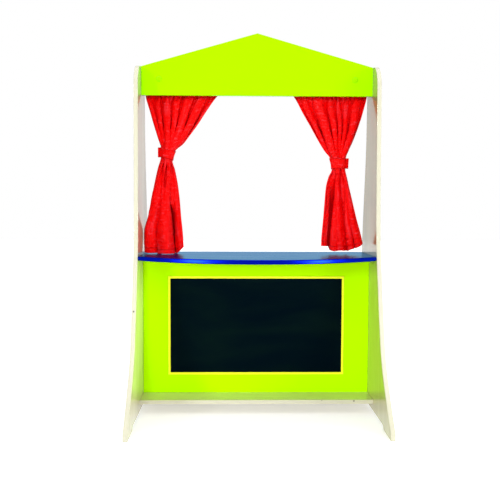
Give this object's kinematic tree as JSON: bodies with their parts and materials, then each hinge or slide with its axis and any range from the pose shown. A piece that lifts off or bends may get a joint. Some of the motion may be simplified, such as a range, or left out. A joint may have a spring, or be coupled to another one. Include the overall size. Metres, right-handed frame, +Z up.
{
  "type": "puppet theatre stand",
  "caption": "Free-standing children's puppet theatre with gabled header, bow-fronted stage shelf, tied curtains on a rod and a framed chalkboard.",
  "frame": {"origin": "on the floor, in the middle of the footprint", "axes": "+X to the right as the audience sees the stage, +Y from the audience towards the puppeteer, +Z up"},
  "size_m": [0.8546, 0.62, 1.341],
  "materials": {
    "birch_plywood": "clear satin lacquer",
    "lime_lacquer": "opaque lime green lacquer, silk gloss",
    "blue_lacquer": "opaque blue lacquer, high gloss",
    "chalkboard_paint": "satin black chalkboard paint on thin hardboard",
    "yellow_lacquer": "opaque yellow lacquer, silk gloss",
    "lime_plastic": "moulded, lime green",
    "beech": "turned, untreated",
    "zinc_steel": "zinc plated",
    "red_cotton": "crinkled plain-weave cotton"
  },
  "bodies": {
    "stand": {"side_panel_left": "birch_plywood", "side_panel_right": "birch_plywood", "header_board": "lime_lacquer", "stage_shelf": "blue_lacquer", "front_panel": "lime_lacquer", "low_shelf": "birch_plywood", "chalkboard": "chalkboard_paint", "frame_strip_top": "yellow_lacquer", "frame_strip_bottom": "yellow_lacquer", "frame_strip_left": "yellow_lacquer", "frame_strip_right": "yellow_lacquer", "header_cap_left": "lime_plastic", "header_cap_right": "lime_plastic", "curtain_rod": "beech", "bolt_header_left": "zinc_steel", "barrel_nut_header_left": "zinc_steel", "bolt_header_right": "zinc_steel", "barrel_nut_header_right": "zinc_steel", "bolt_shelf_front_left": "zinc_steel", "barrel_nut_shelf_front_left": "zinc_steel", "bolt_shelf_front_right": "zinc_steel", "barrel_nut_shelf_front_right": "zinc_steel", "bolt_shelf_rear_left": "zinc_steel", "barrel_nut_shelf_rear_left": "zinc_steel", "bolt_shelf_rear_right": "zinc_steel", "barrel_nut_shelf_rear_right": "zinc_steel", "bolt_panel_upper_left": "zinc_steel", "barrel_nut_panel_upper_left": "zinc_steel", "bolt_panel_upper_right": "zinc_steel", "barrel_nut_panel_upper_right": "zinc_steel", "bolt_panel_lower_left": "zinc_steel", "barrel_nut_panel_lower_left": "zinc_steel", "bolt_panel_lower_right": "zinc_steel", "barrel_nut_panel_lower_right": "zinc_steel", "bolt_low_shelf_front_left": "zinc_steel", "barrel_nut_low_shelf_front_left": "zinc_steel", "bolt_low_shelf_front_right": "zinc_steel", "barrel_nut_low_shelf_front_right": "zinc_steel", "bolt_low_shelf_rear_left": "zinc_steel", "barrel_nut_low_shelf_rear_left": "zinc_steel", "bolt_low_shelf_rear_right": "zinc_steel", "barrel_nut_low_shelf_rear_right": "zinc_steel", "dowel_header_left": "beech", "dowel_header_right": "beech", "dowel_shelf_left": "beech", "dowel_shelf_right": "beech", "dowel_panel_top_left": "beech", "dowel_panel_top_right": "beech", "dowel_panel_foot_left": "beech", "dowel_panel_foot_right": "beech"},
    "left_curtain": {"curtain_left": "red_cotton", "tieback_left": "red_cotton"},
    "right_curtain": {"curtain_right": "red_cotton", "tieback_right": "red_cotton"}
  },
  "joints": [
    {"name": "left_curtain_slide", "type": "slide", "parent": "stand", "child": "left_curtain", "axis": [1, 0, 0], "range_m": [0, 0.118]},
    {"name": "right_curtain_slide", "type": "slide", "parent": "stand", "child": "right_curtain", "axis": [1, 0, 0], "range_m": [-0.118, 0]}
  ]
}
